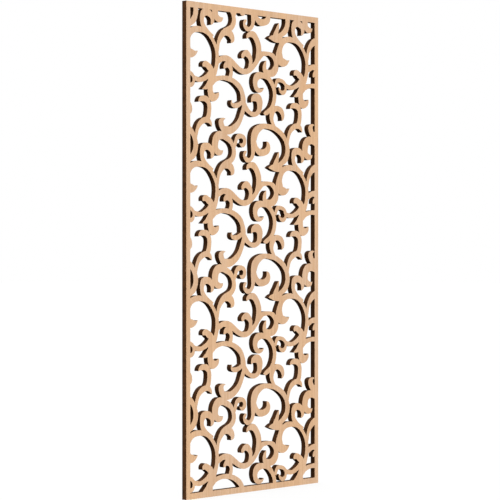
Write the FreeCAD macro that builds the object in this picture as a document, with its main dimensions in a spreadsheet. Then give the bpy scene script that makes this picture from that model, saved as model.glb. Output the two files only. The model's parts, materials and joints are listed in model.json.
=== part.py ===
import FreeCAD, Part
import math
import os

from FreeCAD import Placement, Rotation, Vector

# A tall plywood panel, cut right through with scrollwork that repeats on a square grid inside a
# plain margin. X runs across the panel, Z up it, and the face looks towards -Y. The origin is the
# middle of the bottom edge. Every ply is cut to the same outline, and the plies lie glued in a stack.

# Driving dimensions, in millimetres.
SIZES = {
    "panel_width": 600,
    "panel_height": 1520,
    "stile_width": 17,
    "rail_width": 18.5,
    "ply_thickness": 2,
    "scroll_pitch": 412.5,
    "pattern_left": 0.5,
    "pattern_bottom": -1,
    "scroll_lift": 5,
    "tip_radius": 0.8,
}

# The plies from the face to the back.
PLIES = (
    "face_ply",
    "front_outer_crossband",
    "front_inner_longband",
    "front_inner_crossband",
    "core_ply",
    "back_inner_crossband",
    "back_inner_longband",
    "back_outer_crossband",
    "back_ply",
)

# The scrolls of one repeat, as drawn at a pitch of DRAWN_PITCH. Each is a band that follows its
# stations: x and z from the pattern's lower left corner, and half the band's width there. A half
# width of TIP is a pointed end.
DRAWN_PITCH = 412
TIP = 0
SCROLLS = {
    "great_volute": (
        (262, 659, TIP), (255, 653.5, 5.5), (252, 645.5, 5), (257, 637, 7), (269, 630.5, 7.5),
        (281.5, 634.5, 6.5), (291, 649.5, 7.5), (293, 668, 9.5), (293.5, 688, 11.5), (297, 706, 14),
        (304, 721, 14), (319.5, 733.5, 11.5), (340, 741, 8.5), (362, 741, 8), (387.5, 737.5, 8.5),
        (408, 729, 8.5), (432, 712.5, 9), (446, 693, 8.5), (452, 671, 10), (448.5, 651.5, 10),
        (442, 640, 10.5), (430.5, 630, 9), (414.5, 620.5, 8.5), (400, 613, 7)),
    "volute_curl": (
        (296, 702, 7), (302, 679, 8.5), (311, 665, 9.5), (325.5, 657, 11), (343, 658, 10.5),
        (357.5, 665.5, 11), (362, 677, 9), (359.5, 687, 5.5), (355, 692.5, TIP)),
    "leaf": (
        (364, 610, TIP), (376, 611.5, 7), (390, 611, 11), (408, 610, 12), (428, 610, 11)),
    "leaf_horn": (
        (393, 608, 9), (397, 624.5, 10.5), (404, 640.5, 7), (408, 652.5, 4.5), (411, 661, TIP)),
    "tall_arch": (
        (459.5, 957.5, TIP), (449, 951, 7), (437, 949, 12.5), (423, 951, 15), (413.5, 962.5, 16.5),
        (413, 979.5, 13.5), (417.5, 995, 10.5), (427, 1012, 10.5), (443.5, 1022, 9.5), (463, 1025, 9),
        (484, 1023, 7.5), (503.5, 1016.5, 7.5), (519.5, 1002.5, 6.5), (532, 986, 6.5),
        (542.5, 963, 7), (544.5, 945, 7.5), (543.5, 928, 8), (539.5, 911.5, 8), (532, 895.5, 10),
        (521, 880, 12), (514.5, 862, 11), (514, 848, 11), (515.5, 833, 12), (524, 820.5, 14.5),
        (536, 821.5, 11), (545, 826.5, 7.5), (551, 836, TIP)),
    "column_thorn": (
        (481, 843, TIP), (491, 846.5, 5), (501.5, 852, 8.5), (511, 861, 11), (519, 870, 8)),
    "three_hook": (
        (482, 911.5, TIP), (485.5, 916, 6.5), (492, 920, 9.5), (503, 916, 10.5), (517, 905.5, 11),
        (522, 890, 9)),
    "three_tail": (
        (438, 884, 5), (446, 875, 6.5), (455, 872, 7.5), (470, 870, 7), (485.5, 874, 7.5),
        (497.5, 880, 8), (514, 892, 10)),
    "right_eye": (
        (394, 868, 6), (399, 881.5, 6.5), (406, 890, 7), (418, 891, 6), (430, 888, 6),
        (440.5, 879.5, 5.5), (443.5, 867.5, 5), (439.5, 857, 6), (430, 852, 7), (420.5, 854.5, 5.5),
        (414.5, 860.5, 4), (411.5, 868.5, TIP)),
    "three_scroll": (
        (340.5, 862, TIP), (330.5, 854, 5), (319, 853, 7.5), (308.5, 857.5, 8.5), (302.5, 869, 9.5),
        (302.5, 883, 11), (308.5, 894, 12), (324, 901, 11), (343, 900.5, 8.5), (360, 895.5, 8),
        (372, 886, 8.5), (381.5, 874, 8), (389, 859, 8), (391.5, 843, 8), (390, 828, 8),
        (384.5, 812.5, 8), (375.5, 799.5, 7.5), (361.5, 788.5, 8), (349.5, 782.5, 7), (339.5, 781.5, TIP)),
    "stem_hook": (
        (424.5, 762.5, TIP), (429, 770, 5), (428.5, 782, 8), (421.5, 793.5, 9.5), (408, 800, 8.5),
        (394, 799, 9), (380.5, 786.5, 10.5), (377, 771, 9), (379, 760, 7.5), (384.5, 749, 6.5),
        (393, 736, 6.5)),
    "bowl_hook": (
        (247, 817, 8), (254, 801.5, 9.5), (264.5, 789.5, 9), (277, 781, 7), (292, 776, 8),
        (307.5, 778.5, 7.5), (318.5, 788.5, 9.5), (322.5, 803, 11.5), (322, 817.5, 13.5),
        (312.5, 829, 14), (300.5, 829, 12), (291, 824, 8.5), (286.5, 818, 4), (285, 813.5, TIP)),
    "great_s": (
        (104, 858, 8), (112, 867, 9.5), (121.5, 874.5, 9), (135.5, 879, 7.5), (155, 882.5, 7),
        (176, 882, 8), (198.5, 877.5, 8), (218.5, 868, 9), (236.5, 852.5, 9.5), (245, 834.5, 9.5),
        (248, 818, 11), (250, 801, 7.5), (245.5, 782.5, 8.5), (238, 764, 8.5), (226.5, 745.5, 9.5),
        (208.5, 730, 11), (189, 721, 12), (171, 721, 13), (157.5, 726.5, 10.5), (151.5, 736.5, 11),
        (150.5, 746.5, 11), (156.5, 752, 7), (168, 755.5, TIP)),
    "lower_e": (
        (157.5, 657, TIP), (150, 651.5, 7), (140, 650.5, 10), (129.5, 656, 11), (123.5, 666.5, 12.5),
        (123.5, 680.5, 13.5), (128.5, 694.5, 13.5), (141, 703.5, 13.5), (157, 703.5, 11),
        (173, 697, 9.5), (188.5, 689, 9), (200, 675, 7.5), (206, 659, 8.5), (205, 644, 9),
        (197.5, 632, 9), (186, 623.5, 9.5), (168, 614.5, 11), (155.5, 606, 10), (145, 593, 8),
        (137.5, 577.5, 6.5), (135, 563, 6), (131, 548, 6)),
    "arch_hook": (
        (150, 602, 6), (160, 609.5, 8.5), (174, 612.5, 10.5), (189.5, 609, 11.5), (198.5, 597.5, 10),
        (198.5, 588, 7), (195.5, 584, 3.5), (194, 581.5, TIP)),
    "left_eye": (
        (204, 668, 7), (211, 678.5, 7), (214.5, 688.5, 7), (218.5, 697.5, 7), (228, 704, 8.5),
        (239.5, 705.5, 7), (250, 701, 7), (254.5, 690.5, 7), (251.5, 681, 7), (243, 676.5, 6.5),
        (236, 679, 3.5), (232, 682.5, TIP)),
    "small_volute": (
        (524, 594, 7), (510, 604.5, 5.5), (495.5, 614, 7), (484, 624.5, 8.5), (479, 637, 8),
        (479, 650, 9), (484, 662.5, 11.5), (497, 668, 11), (511, 664.5, 10.5), (521, 655, 8.5),
        (523.5, 641.5, 7), (520, 634.5, 4), (517, 630.5, TIP)),
    "riser": (
        (450.5, 680, 6), (452.5, 695, 5.5), (455.5, 709.5, 6.5), (460.5, 723.5, 7), (470.5, 737, 8.5),
        (485, 746, 9), (497, 748.5, 8.5), (509.5, 745.5, 7.5), (516.5, 738.5, 5), (520.5, 730, TIP)),
    "riser_hook": (
        (464, 803, TIP), (468.5, 808.5, 5), (476, 812.5, 8), (488, 814, 9), (500, 810.5, 10),
        (508, 800, 8.5), (510.5, 788, 8.5), (509.5, 775, 8.5), (506.5, 760.5, 9), (496, 749, 8)),
    "wave_arch": (
        (128, 916, 5), (132, 928.5, 7), (144, 937, 9), (155.5, 942.5, 8.5), (170, 943.5, 10),
        (186, 939, 11), (201.5, 931, 10), (217, 921, 9), (232, 912.5, 8.5), (250, 908, 9),
        (266.5, 910, 8.5), (284.5, 921, 9.5), (302, 935.5, 8), (311, 948, 9.5), (316.5, 964, 11),
        (318.5, 980, 11.5), (316, 996.5, 11.5), (308, 1012.5, 11), (293.5, 1026.5, 11),
        (278, 1027, 8.5), (267.5, 1020.5, 6), (263.5, 1013, TIP)),
    "wave_curl": (
        (241, 951, TIP), (245.5, 956.5, 7), (251, 962.5, 8), (262, 966, 11), (274, 958.5, 10),
        (280.5, 947.5, 8.5), (281, 936, 7.5), (277, 922, 7), (269, 911, 6)),
    "wave_nib": (
        (161.5, 911.5, TIP), (166, 918, 6.5), (172, 923.5, 9), (181, 925, 10.5), (190.5, 917, 8.5),
        (194.5, 905, 7), (192.5, 893, 7.5), (189, 880, 6)),
    "s_nib": (
        (196.5, 815, TIP), (195.5, 808.5, 3), (198.5, 802.5, 5.5), (206, 799.5, 7), (218, 799.5, 8),
        (231, 804.5, 7.5), (244, 813, 7)),
    "mid_volute": (
        (304, 938, 5), (315, 951, 8), (326, 962, 8.5), (336, 969.5, 8), (350, 971.5, 7),
        (366.5, 972, 6), (384.5, 965.5, 8.5), (395, 952, 8.5), (398.5, 938, 10.5), (394, 924, 12.5),
        (382.5, 913, 12.5), (368, 909.5, 11), (353.5, 911.5, 11), (345, 919.5, 8.5), (344.5, 930, 8),
        (347.5, 940, 5.5), (352, 948.5, TIP)),
}

# The scrolls that stand higher in one repeat than in the others, and that repeat's column and row.
LIFTED_SCROLLS = ("three_scroll", "right_eye")
LIFTED_REPEAT = (0, 0)

ACROSS = Vector(0, 1, 0)
UPRIGHT = Rotation(Vector(1, 0, 0), 90)


def make_sheet(doc):
    """Write the driving dimensions into a spreadsheet, one alias each."""
    sheet = doc.addObject("Spreadsheet::Sheet", "Sizes")
    for row, (alias, value) in enumerate(SIZES.items(), start=1):
        sheet.set(f"A{row}", alias)
        sheet.set(f"B{row}", str(value))
        sheet.setAlias(f"B{row}", alias)
    doc.recompute()
    return sheet


def curve_through(points):
    """A smooth curve through points, run by chord length, and the run at each point."""
    runs = [0.0]
    for near, far in zip(points, points[1:]):
        runs.append(runs[-1] + near.distanceToPoint(far))
    curve = Part.BSplineCurve()
    curve.interpolate(Points=points, Parameters=runs)
    return curve, runs


def end_cap(left, right, middle, outward, half_width, is_tip):
    """Close a band's end: a round nose on a tip, a straight cut on an end that lies in a neighbour."""
    if is_tip:
        return Part.Arc(left, middle + outward * half_width, right).toShape()
    return Part.LineSegment(left, right).toShape()


def scroll_face(stations, scale, tip_radius):
    """The flat face of one scroll: a band of changing width along its stations."""
    middles = [Vector(x, 0, z) * scale for x, z, _ in stations]
    halves = [half * scale or tip_radius for _, _, half in stations]
    spine, runs = curve_through(middles)
    headings = [spine.tangent(run)[0] for run in runs]
    sides = [heading.cross(ACROSS) for heading in headings]
    left = [m - s * h for m, s, h in zip(middles, sides, halves)]
    right = [m + s * h for m, s, h in zip(middles, sides, halves)]
    first_tip = stations[0][2] == TIP
    last_tip = stations[-1][2] == TIP
    outline = Part.Wire([
        curve_through(left)[0].toShape(),
        end_cap(left[-1], right[-1], middles[-1], headings[-1], halves[-1], last_tip),
        curve_through(right)[0].toShape(),
        end_cap(right[0], left[0], middles[0], -headings[0], halves[0], first_tip),
    ])
    return Part.Face(outline)


def make_scrolls(doc, sheet):
    """The scrolls of one repeat, each a flat face, measured from the pattern's lower left corner."""
    scale = sheet.scroll_pitch / DRAWN_PITCH
    scrolls = []
    for name, stations in SCROLLS.items():
        scroll = doc.addObject("Part::Feature", name)
        scroll.Shape = scroll_face(stations, scale, sheet.tip_radius)
        scrolls.append(scroll)
    return scrolls


def steps_across(low, high, pitch, span):
    """The steps, of a pitch each, that bring a piece drawn from low to high onto 0 to span."""
    return range(math.ceil(-high / pitch), math.floor((span - low) / pitch) + 1)


def lift_of(name, column, row):
    """How far a copy stands above its place in the repeat, as an expression on the sheet."""
    if name in LIFTED_SCROLLS and (column, row) == LIFTED_REPEAT:
        return "Sizes.scroll_lift"
    return "0"


def make_scrollwork(doc, sheet, scrolls):
    """Every scroll again and again, a pitch apart both ways, wherever it meets the panel."""
    copies = []
    for scroll in scrolls:
        box = scroll.Shape.BoundBox
        box.move(Vector(sheet.pattern_left, 0, sheet.pattern_bottom))
        for column in steps_across(box.XMin, box.XMax, sheet.scroll_pitch, sheet.panel_width):
            for row in steps_across(box.ZMin, box.ZMax, sheet.scroll_pitch, sheet.panel_height):
                copy = doc.addObject("App::Link", f"{scroll.Name}_copy")
                copy.LinkedObject = scroll
                copy.setExpression(
                    "Placement.Base.x",
                    f"Sizes.pattern_left + Sizes.scroll_pitch * {column} - Sizes.panel_width / 2")
                lift = lift_of(scroll.Name, column, row)
                copy.setExpression(
                    "Placement.Base.z",
                    f"Sizes.pattern_bottom + Sizes.scroll_pitch * {row} + {lift}")
                copies.append(copy)
    scrollwork = doc.addObject("Part::Compound", "scrollwork")
    scrollwork.Links = copies
    return scrollwork


def make_rectangle(doc, name, width, height, left, bottom):
    """An upright rectangle in the plane of the cut, each size an expression on the sheet."""
    rectangle = doc.addObject("Part::Plane", name)
    rectangle.Placement = Placement(Vector(), UPRIGHT)
    rectangle.setExpression("Length", width)
    rectangle.setExpression("Width", height)
    rectangle.setExpression("Placement.Base.x", left)
    rectangle.setExpression("Placement.Base.z", bottom)
    return rectangle


def make_openings(doc, scrollwork):
    """The openings: the window inside the margin, less the scrolls."""
    window = make_rectangle(
        doc, "window",
        "Sizes.panel_width - 2 * Sizes.stile_width",
        "Sizes.panel_height - 2 * Sizes.rail_width",
        "Sizes.stile_width - Sizes.panel_width / 2",
        "Sizes.rail_width")
    openings = doc.addObject("Part::Cut", "openings")
    openings.Base = window
    openings.Tool = scrollwork
    return openings


def own_stretch(edge):
    """The edge with its curve cut down to the stretch that the edge uses."""
    if not isinstance(edge.Curve, Part.BSplineCurve):
        return edge
    curve = edge.Curve.copy()
    curve.segment(edge.FirstParameter, edge.LastParameter)
    return curve.toShape()


def make_outline(doc, openings):
    """The panel's outline: the blank sheet with the openings cut out of it."""
    blank = make_rectangle(
        doc, "blank", "Sizes.panel_width", "Sizes.panel_height", "-Sizes.panel_width / 2", "0")
    doc.recompute()
    wires = [blank.Shape.OuterWire]
    for opening in openings.Shape.Faces:
        for wire in opening.Wires:
            wires.append(Part.Wire([own_stretch(edge) for edge in wire.OrderedEdges]))
    outline = doc.addObject("Part::Feature", "fretwork_outline")
    outline.Shape = Part.makeFace(wires, "Part::FaceMakerBullseye")
    return outline


def make_plies(doc, outline):
    """The plies, each the outline drawn out by its thickness, stacked from the face to the back."""
    plies = []
    for place, name in enumerate(PLIES):
        ply = doc.addObject("Part::Extrusion", name)
        ply.Label = name
        ply.Base = outline
        ply.DirMode = "Custom"
        ply.Dir = ACROSS
        ply.Solid = True
        ply.setExpression("LengthFwd", "Sizes.ply_thickness")
        ply.setExpression("Placement.Base.y", f"Sizes.ply_thickness * ({place} - {len(PLIES)} / 2)")
        plies.append(ply)
    return plies


def check(doc, plies):
    """Stop if anything failed to build, or if a ply isn't one sound solid."""
    for item in doc.Objects:
        if "Invalid" in item.State or "Error" in item.State:
            raise RuntimeError(f"{item.Name} failed: {item.State}")
    for ply in plies:
        if ply.Shape.isNull() or not ply.Shape.isValid() or len(ply.Shape.Solids) != 1:
            raise RuntimeError(f"{ply.Label} isn't one valid solid")


def main():
    doc = FreeCAD.newDocument("fretwork_panel")
    sheet = make_sheet(doc)
    scrolls = make_scrolls(doc, sheet)
    openings = make_openings(doc, make_scrollwork(doc, sheet, scrolls))
    plies = make_plies(doc, make_outline(doc, openings))
    doc.recompute()
    check(doc, plies)
    os.makedirs("parts", exist_ok=True)
    for ply in plies:
        ply.Shape.exportStep(f"parts/{ply.Label}.step")


main()
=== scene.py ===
"""Dress the scrollwork panel: sanded veneer faces, scorched cut edges and a white studio."""

import json
import logging
import math
from dataclasses import dataclass, field
from enum import Enum
from typing import ClassVar

import bpy
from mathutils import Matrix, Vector


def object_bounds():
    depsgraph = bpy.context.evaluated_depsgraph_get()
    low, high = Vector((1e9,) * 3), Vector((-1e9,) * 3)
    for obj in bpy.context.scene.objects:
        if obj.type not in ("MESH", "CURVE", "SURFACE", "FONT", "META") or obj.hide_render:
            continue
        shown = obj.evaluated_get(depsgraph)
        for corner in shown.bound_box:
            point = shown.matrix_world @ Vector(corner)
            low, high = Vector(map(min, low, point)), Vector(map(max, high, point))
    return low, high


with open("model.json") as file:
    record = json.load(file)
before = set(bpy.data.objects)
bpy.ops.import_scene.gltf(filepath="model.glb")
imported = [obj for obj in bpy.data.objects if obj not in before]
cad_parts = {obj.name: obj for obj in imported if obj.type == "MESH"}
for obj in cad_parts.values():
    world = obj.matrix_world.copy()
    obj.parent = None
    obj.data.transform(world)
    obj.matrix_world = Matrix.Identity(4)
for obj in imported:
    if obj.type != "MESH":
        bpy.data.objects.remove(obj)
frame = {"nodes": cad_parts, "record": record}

CAD_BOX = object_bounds()
MM = 0.001
HALF_DEPTH = CAD_BOX[1][1]
PLY = 2 * HALF_DEPTH / len(frame["record"]["subparts"])
WHITE = (1.0, 1.0, 1.0, 1.0)

log = logging.getLogger("fretwork_panel")

Point = tuple[float, float, float]
Socket = bpy.types.NodeSocket


class Grain(Enum):
    """Which way the fibres of a ply run."""

    UPRIGHT = "upright"
    LEVEL = "level"


class Ramp(Enum):
    """How a value goes from one end of a range to the other."""

    SMOOTH = "SMOOTHSTEP"
    STRAIGHT = "LINEAR"


@dataclass(frozen=True)
class Tone:
    """A colour as it is read off a screen, from 0 to 255 a channel."""

    red: float
    green: float
    blue: float

    full: ClassVar[float] = 255.0
    toe_end: ClassVar[float] = 0.04045
    toe_slope: ClassVar[float] = 12.92
    offset: ClassVar[float] = 0.055
    gamma: ClassVar[float] = 2.4

    def linear(self) -> tuple[float, float, float, float]:
        """Give the colour in linear light, with an alpha of 1."""
        return (*(self._channel(value / self.full) for value in (self.red, self.green, self.blue)), 1.0)

    def _channel(self, value: float) -> float:
        """Turn one screen channel into linear light.

        Args:
            value: the channel, from 0 to 1.

        Returns:
            The same channel in linear light.
        """
        if value <= self.toe_end:
            return value / self.toe_slope
        return ((value + self.offset) / (1.0 + self.offset)) ** self.gamma


class NodeBoard:
    """A node tree, with short calls that add nodes and join them."""

    def __init__(self, tree: bpy.types.NodeTree) -> None:
        """Take up a tree.

        Args:
            tree: the nodes of a material or a world.
        """
        self.tree = tree

    def add(self, kind: str, **settings: object) -> bpy.types.Node:
        """Add a node.

        Args:
            kind: the node's type name.
            settings: the node's properties to set.

        Returns:
            The new node.
        """
        node = self.tree.nodes.new(kind)
        for name, value in settings.items():
            setattr(node, name, value)
        return node

    def feed(self, socket: Socket, value: object) -> None:
        """Link an output to an input, or write a plain value into the input.

        Args:
            socket: the input to fill.
            value: an output socket, a number, a vector or a colour.
        """
        if isinstance(value, Socket):
            self.tree.links.new(value, socket)
        else:
            socket.default_value = value

    def calc(self, operation: str, *values: object) -> Socket:
        """Work out a number.

        Args:
            operation: the operation's name.
            values: its inputs in order.

        Returns:
            The result.
        """
        node = self.add("ShaderNodeMath", operation=operation)
        for socket, value in zip(node.inputs, values):
            self.feed(socket, value)
        return node.outputs["Value"]

    def remap(self, value: object, low: float, high: float, to_low: object = 0.0, to_high: object = 1.0,
              ramp: Ramp = Ramp.SMOOTH) -> Socket:
        """Stretch a range of a value over another range, held at its ends.

        Args:
            value: the value to stretch.
            low: the value that gives to_low.
            high: the value that gives to_high.
            to_low: the result at low.
            to_high: the result at high.
            ramp: how the result goes from one to the other.

        Returns:
            The stretched value.
        """
        node = self.add("ShaderNodeMapRange", interpolation_type=ramp.value)
        for name, entry in (("Value", value), ("From Min", low), ("From Max", high),
                            ("To Min", to_low), ("To Max", to_high)):
            self.feed(node.inputs[name], entry)
        return node.outputs["Result"]

    def mix(self, share: object, first: object, second: object) -> Socket:
        """Mix two colours.

        Args:
            share: how much of the second colour, from 0 to 1.
            first: the colour underneath.
            second: the colour on top.

        Returns:
            The mixed colour.
        """
        node = self.add("ShaderNodeMix", data_type="RGBA")
        colours = [socket for socket in node.inputs if socket.type == "RGBA"]
        self.feed(node.inputs["Factor"], share)
        self.feed(colours[0], first)
        self.feed(colours[1], second)
        return next(socket for socket in node.outputs if socket.type == "RGBA")

    def coordinate(self, vector: Socket, axis: str) -> Socket:
        """Take one coordinate out of a vector.

        Args:
            vector: the vector.
            axis: X, Y or Z.

        Returns:
            The coordinate.
        """
        split = self.add("ShaderNodeSeparateXYZ")
        self.feed(split.inputs["Vector"], vector)
        return split.outputs[axis]

    def seen(self) -> Socket:
        """Tell what the camera, a gloss or a glass sees from what lights the room.

        Returns:
            1 for a ray that is seen, 0 for one that carries light.
        """
        path = self.add("ShaderNodeLightPath")
        bounced = self.calc("MAXIMUM", path.outputs["Is Glossy Ray"], path.outputs["Is Transmission Ray"])
        return self.calc("MAXIMUM", path.outputs["Is Camera Ray"], bounced)


class SurfaceBoard(NodeBoard):
    """The nodes of a new material, which end in one shader for its whole surface."""

    def __init__(self, name: str) -> None:
        """Start the material.

        Args:
            name: the material's name.
        """
        self.material = bpy.data.materials.new(name)
        self.material.use_nodes = True
        super().__init__(self.material.node_tree)
        self.shader = self.tree.nodes["Principled BSDF"]

    def fill(self, **values: object) -> None:
        """Fill the shader's inputs.

        Args:
            values: what goes into each input, by its name with _ for a space.
        """
        for name, value in values.items():
            self.feed(self.shader.inputs[name.replace("_", " ")], value)

    def noise(self, scale: Point, detail: float, shift: Point) -> Socket:
        """Noise on the piece's own coordinates, with a scale for each axis.

        Args:
            scale: how many lumps a metre, along X, Y and Z.
            detail: how many finer layers.
            shift: moves the pattern, so that two patterns differ.

        Returns:
            The noise, from 0 to 1.
        """
        place = self.add("ShaderNodeTexCoord")
        mapping = self.add("ShaderNodeMapping")
        mapping.inputs["Scale"].default_value = scale
        mapping.inputs["Location"].default_value = shift
        texture = self.add("ShaderNodeTexNoise")
        texture.inputs["Scale"].default_value = 1.0
        texture.inputs["Detail"].default_value = detail
        self.feed(mapping.inputs["Vector"], place.outputs["Object"])
        self.feed(texture.inputs["Vector"], mapping.outputs["Vector"])
        return texture.outputs["Fac"]

    def depth(self) -> Socket:
        """How far back from the panel's middle plane a point lies, in metres."""
        return self.coordinate(self.add("ShaderNodeTexCoord").outputs["Object"], "Y")

    def squareness(self) -> Socket:
        """How squarely the surface looks to the front or the back: 1 on a face, 0 on a cut edge."""
        normal = self.add("ShaderNodeNewGeometry").outputs["True Normal"]
        return self.calc("ABSOLUTE", self.coordinate(normal, "Y"))

    def relief(self, height: Socket, depth: float) -> Socket:
        """Press a height pattern into the surface.

        Args:
            height: the pattern, from 0 to 1.
            depth: the relief's depth in metres.

        Returns:
            The surface's normal with the pattern in it.
        """
        bump = self.add("ShaderNodeBump")
        bump.inputs["Distance"].default_value = depth
        self.feed(bump.inputs["Height"], height)
        return bump.outputs["Normal"]


@dataclass(frozen=True)
class Figure:
    """One layer of a surface's figure: a noise that brings a tone in as it goes from low to high."""

    tone: Tone
    scale: Point
    low: float
    high: float
    share: float
    detail: float = 3.0
    folds: float = 0.0
    shift: Point = (0.0, 0.0, 0.0)

    def lay(self, board: SurfaceBoard, under: object, grain: Grain = Grain.UPRIGHT,
            sheet: float = 0.0) -> tuple[Socket, Socket]:
        """Lay the layer over a colour.

        Args:
            board: the material's nodes.
            under: the colour underneath.
            grain: the way the fibres run, which the layer's long way follows.
            sheet: moves the layer, so that two veneers differ.

        Returns:
            The new colour, and how much of the layer's share shows.
        """
        scale = self.scale if grain is Grain.UPRIGHT else self.scale[::-1]
        shift = (self.shift[0] + sheet, self.shift[1], self.shift[2])
        noise = board.noise(scale, self.detail, shift)
        if self.folds:
            noise = board.calc("PINGPONG", board.calc("MULTIPLY", noise, self.folds), 1.0)
        amount = board.remap(noise, self.low, self.high)
        colour = board.mix(board.calc("MULTIPLY", amount, self.share), under, self.tone.linear())
        return colour, amount


@dataclass(frozen=True)
class VeneerFace:
    """The sanded face of a veneer, pale and pinkish, with fine straight grain."""

    late_wood: ClassVar[Tone] = Tone(208, 167, 130)

    ground: Tone = Tone(222, 188, 157)
    patches: Figure = Figure(tone=Tone(226, 185, 145), scale=(9.0, 9.0, 2.2), low=0.35, high=0.65,
                             share=1.0, detail=2.0)
    rings: Figure = Figure(tone=Tone(203, 160, 123), scale=(7.0, 7.0, 0.9), low=0.45, high=1.0,
                           share=0.3, detail=1.5, folds=11.0, shift=(4.0, 9.0, 6.0))
    stripes: Figure = Figure(tone=late_wood, scale=(150.0, 150.0, 3.0), low=0.4, high=0.7,
                             share=0.65, shift=(3.0, 1.0, 7.0))
    fibres: Figure = Figure(tone=late_wood, scale=(900.0, 900.0, 14.0), low=0.4, high=0.75,
                            share=0.45, shift=(5.0, 2.0, 1.0))
    pores: Figure = Figure(tone=Tone(160, 116, 84), scale=(1500.0, 1500.0, 90.0), low=0.66, high=0.74,
                           share=0.4, detail=1.0, shift=(9.0, 4.0, 2.0))
    pore_depth: float = 0.6

    def paint(self, board: SurfaceBoard, grain: Grain, sheet: float) -> tuple[Socket, Socket]:
        """Lay the face's figure on a board.

        Args:
            board: the material's nodes.
            grain: the way the fibres run.
            sheet: moves the figure, so that two veneers differ.

        Returns:
            The colour, and the height of the grain: up to 1 on a fibre, less in a pore.
        """
        colour = self.ground.linear()
        for layer in (self.patches, self.rings, self.stripes):
            colour, _ = layer.lay(board, colour, grain, sheet)
        colour, fibre = self.fibres.lay(board, colour, grain, sheet)
        colour, pore = self.pores.lay(board, colour, grain, sheet)
        return colour, board.calc("SUBTRACT", fibre, board.calc("MULTIPLY", pore, self.pore_depth))


@dataclass(frozen=True)
class ScorchedEdge:
    """The cut edge of a ply, burnt dark by the cutter, browner near the face."""

    burn_scale: ClassVar[Point] = (60.0, 25.0, 60.0)
    burn_shift: ClassVar[Point] = (2.0, 6.0, 3.0)

    front: Tone = Tone(75, 46, 21)
    middle: Tone = Tone(72, 46, 27)
    back: Tone = Tone(62, 43, 30)
    soot: Tone = Tone(29, 17, 11)
    resin: Tone = Tone(21, 12, 8)
    amber_burn: Figure = Figure(tone=Tone(97, 62, 35), scale=burn_scale, low=0.45, high=0.75,
                                share=0.35, shift=burn_shift)
    soot_burn: Figure = Figure(tone=soot, scale=burn_scale, low=0.5, high=0.25,
                               share=0.5, shift=burn_shift)
    ridges: Figure = Figure(tone=soot, scale=(1700.0, 30.0, 1700.0), low=0.65, high=0.35,
                            share=0.3, detail=2.0, shift=(1.0, 8.0, 5.0))
    glue: float = 0.12 * MM
    glue_share: float = 0.8

    def paint(self, board: SurfaceBoard, tint: float) -> tuple[Socket, Socket]:
        """Lay the burnt edge's patterns on a board.

        Args:
            board: the material's nodes.
            tint: how sooty this kind of ply burns, from 0 to 1.

        Returns:
            The colour, and the height of the cutter's ridges from 0 to 1.
        """
        depth = board.depth()
        colour = board.mix(board.remap(depth, -HALF_DEPTH, 0.0), self.front.linear(), self.middle.linear())
        colour = board.mix(board.remap(depth, 0.0, HALF_DEPTH), colour, self.back.linear())
        for layer in (self.amber_burn, self.soot_burn):
            colour, _ = layer.lay(board, colour)
        colour, groove = self.ridges.lay(board, colour)
        colour = board.mix(tint, colour, self.soot.linear())
        colour = board.mix(self._glue_line(board, depth), colour, self.resin.linear())
        return colour, board.calc("SUBTRACT", 1.0, groove)

    def _glue_line(self, board: SurfaceBoard, depth: Socket) -> Socket:
        """Mark the glue lines between the plies, at each whole ply from the face.

        Args:
            board: the material's nodes.
            depth: the coordinate through the panel.

        Returns:
            The glue's share on a glue line, 0 away from it.
        """
        steps = board.calc("DIVIDE", board.calc("ADD", depth, HALF_DEPTH), PLY)
        nearest = board.calc("ABSOLUTE", board.calc("SUBTRACT", steps, board.calc("ROUND", steps)))
        return board.remap(nearest, 0.0, self.glue / PLY, self.glue_share, 0.0)


@dataclass(frozen=True)
class PlyFinish:
    """What one kind of ply shows: a veneer on its flat faces and a scorch on its cut edges."""

    name: str
    grain: Grain
    tint: float
    sheet: float
    face: VeneerFace = VeneerFace()
    edge: ScorchedEdge = ScorchedEdge()
    flat_above: float = 0.95
    face_roughness: float = 0.6
    edge_roughness: float = 0.82
    shine: float = 0.01
    relief: float = 0.05 * MM

    def material(self) -> bpy.types.Material:
        """Make the finish's material.

        Returns:
            The material.
        """
        board = SurfaceBoard(self.name)
        face_colour, face_height = self.face.paint(board, self.grain, self.sheet)
        edge_colour, edge_height = self.edge.paint(board, self.tint)
        flat = board.calc("GREATER_THAN", board.squareness(), self.flat_above)
        height = board.calc("ADD", board.calc("MULTIPLY", face_height, flat),
                            board.calc("MULTIPLY", edge_height, board.calc("SUBTRACT", 1.0, flat)))
        board.fill(
            Base_Color=board.mix(flat, edge_colour, face_colour),
            Roughness=board.remap(flat, 0.0, 1.0, self.edge_roughness, self.face_roughness),
            Specular_IOR_Level=self.shine,
            Normal=board.relief(height, self.relief),
        )
        return board.material


@dataclass(frozen=True)
class PlyStack:
    """The glued plies, front to back, each dressed by the kind of ply that it is."""

    finishes: dict[str, PlyFinish] = field(default_factory=lambda: {
        "face_veneer": PlyFinish("face_veneer_sanded", Grain.UPRIGHT, tint=0.0, sheet=0.0),
        "crossband": PlyFinish("crossband_scorched", Grain.LEVEL, tint=0.22, sheet=11.0),
        "longband": PlyFinish("longband_scorched", Grain.UPRIGHT, tint=0.05, sheet=23.0),
        "back_veneer": PlyFinish("back_veneer_sanded", Grain.UPRIGHT, tint=0.0, sheet=37.0),
    })

    def dress(self) -> None:
        """Give every ply the material of its slot."""
        materials = {slot: finish.material() for slot, finish in self.finishes.items()}
        for entry in frame["record"]["subparts"]:
            node = frame["nodes"][entry["node"]]
            for slot in node.material_slots:
                slot.material = materials[entry["material_slot"]]
            log.info("%s: %s", node.name, entry["material_slot"])


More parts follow.
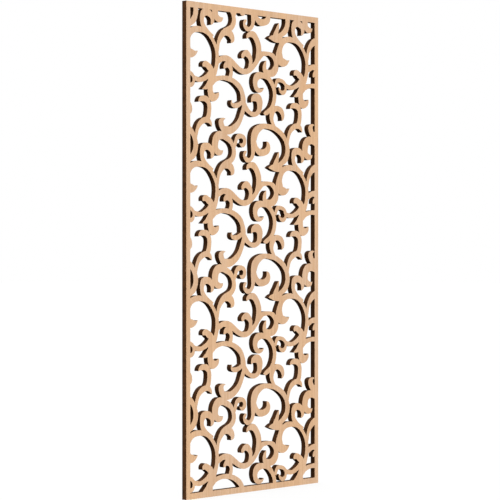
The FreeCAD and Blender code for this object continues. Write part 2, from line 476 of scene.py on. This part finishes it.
@dataclass(frozen=True)
class Lamp:
    """A soft lamp so far away that it lights the whole panel evenly."""

    name: str
    towards: Point
    strength: float
    softness: float = 40.0

    def light(self) -> None:
        """Hang the lamp in the scene; a strength of 1 shows a colour as it is written."""
        data = bpy.data.lights.new(self.name, "SUN")
        data.energy = self.strength * math.pi
        data.angle = math.radians(self.softness)
        lamp = bpy.data.objects.new(self.name, data)
        lamp.rotation_euler = Vector(self.towards).to_track_quat("Z", "Y").to_euler()
        bpy.context.scene.collection.objects.link(lamp)


@dataclass(frozen=True)
class Studio:
    """The white room: floor, sky, lamps and the camera."""

    floor_side: float = 60.0
    floor_bounce: float = 0.07
    floor_glow: float = 0.86
    horizon_light: float = 0.35
    zenith_light: float = 2.6
    camera_place: Point = (-4.316, -4.154, 0.7608)
    camera_tilt: float = 90.0
    camera_turn: float = -46.018
    lens: float = 136.55
    sensor: float = 36.0
    lamps: tuple[Lamp, ...] = (
        Lamp("front_lamp", towards=(-0.35, -1.0, 0.55), strength=0.34),
        Lamp("side_lamp", towards=(-1.0, 0.0, 0.5), strength=0.65, softness=20.0),
        Lamp("back_lamp", towards=(0.35, 1.0, 0.55), strength=0.34),
    )

    def build(self) -> None:
        """Set up the room."""
        self._floor()
        self._sky()
        for lamp in self.lamps:
            lamp.light()
        self._camera()
        bpy.context.scene.view_settings.view_transform = "Standard"

    def _floor(self) -> None:
        """Lay a large white floor that keeps the panel's shadow."""
        half = self.floor_side / 2
        corners = [(-half, -half, 0.0), (half, -half, 0.0), (half, half, 0.0), (-half, half, 0.0)]
        mesh = bpy.data.meshes.new("floor")
        mesh.from_pydata(corners, [], [(0, 1, 2, 3)])
        mesh.materials.append(self._floor_paint())
        floor = bpy.data.objects.new("floor", mesh)
        bpy.context.scene.collection.objects.link(floor)

    def _floor_paint(self) -> bpy.types.Material:
        """Make the floor's material, which looks white and throws little light back up.

        Returns:
            The material.
        """
        board = SurfaceBoard("white_floor")
        board.fill(
            Base_Color=(self.floor_bounce, self.floor_bounce, self.floor_bounce, 1.0),
            Roughness=1.0,
            Specular_IOR_Level=0.0,
            Emission_Color=WHITE,
            Emission_Strength=board.calc("MULTIPLY", board.seen(), self.floor_glow),
        )
        return board.material

    def _sky(self) -> None:
        """Light the room from above, evenly all round, and show white where the sky is seen."""
        world = bpy.data.worlds.new("white_room")
        world.use_nodes = True
        board = NodeBoard(world.node_tree)
        way = board.add("ShaderNodeTexCoord").outputs["Generated"]
        height = board.coordinate(way, "Z")
        light = board.remap(height, 0.0, 1.0, self.horizon_light, self.zenith_light, Ramp.STRAIGHT)
        strength = board.remap(board.seen(), 0.0, 1.0, light, 1.0, Ramp.STRAIGHT)
        background = board.tree.nodes["Background"]
        board.feed(background.inputs["Color"], WHITE)
        board.feed(background.inputs["Strength"], strength)
        bpy.context.scene.world = world

    def _camera(self) -> None:
        """Stand the camera level with the panel's middle, off its left edge."""
        data = bpy.data.cameras.new("camera")
        data.sensor_width = self.sensor
        data.sensor_fit = "HORIZONTAL"
        data.lens = self.lens
        camera = bpy.data.objects.new("camera", data)
        camera.location = self.camera_place
        camera.rotation_euler = (math.radians(self.camera_tilt), 0.0, math.radians(self.camera_turn))
        bpy.context.scene.collection.objects.link(camera)
        bpy.context.scene.camera = camera


def main() -> None:
    """Dress the panel and set up its studio."""
    logging.basicConfig(level=logging.INFO, format="%(name)s %(message)s")
    PlyStack().dress()
    Studio().build()


if __name__ == "__main__":
    main()
